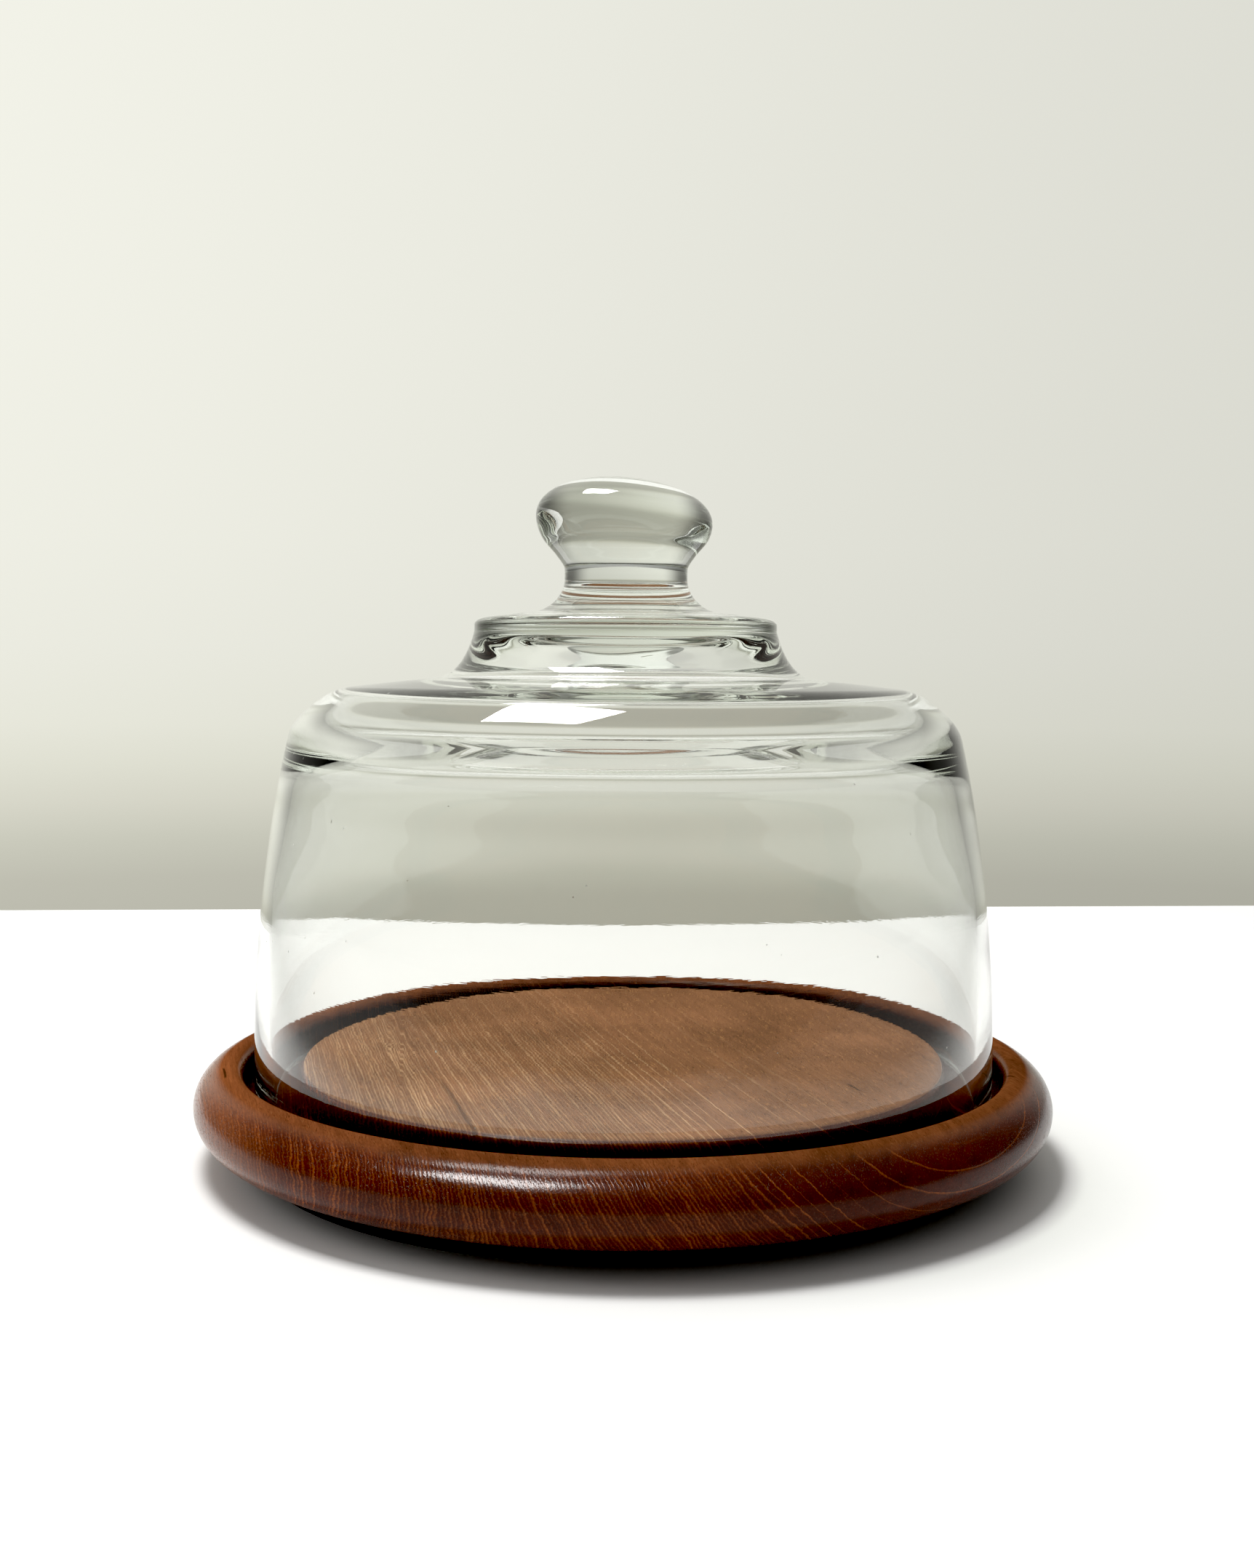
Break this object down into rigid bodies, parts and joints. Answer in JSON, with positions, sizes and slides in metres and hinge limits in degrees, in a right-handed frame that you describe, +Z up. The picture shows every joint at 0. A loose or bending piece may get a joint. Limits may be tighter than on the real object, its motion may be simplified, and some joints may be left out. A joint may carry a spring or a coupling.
{
  "type": "glass food dome on a turned wooden board",
  "caption": "Clear glass dome with a solid knob, standing loose in the groove of a round turned board with a bead rim and raised centre.",
  "frame": {"origin": "centre of the board's foot, on the surface it stands on", "axes": "+Z up along the common turning axis of board and dome; X and Y lie in the table plane"},
  "size_m": [0.26, 0.26, 0.205],
  "materials": {
    "teak": "oiled satin",
    "glass": "clear, fire-polished"
  },
  "bodies": {
    "board": {"teak_board": "teak"},
    "cover": {"glass_dome": "glass", "glass_knob": "glass"}
  },
  "joints": [
    {"name": "dome_lift", "type": "slide", "parent": "board", "child": "cover", "axis": [0, 0, 1], "range_m": [0, 0.2]}
  ]
}
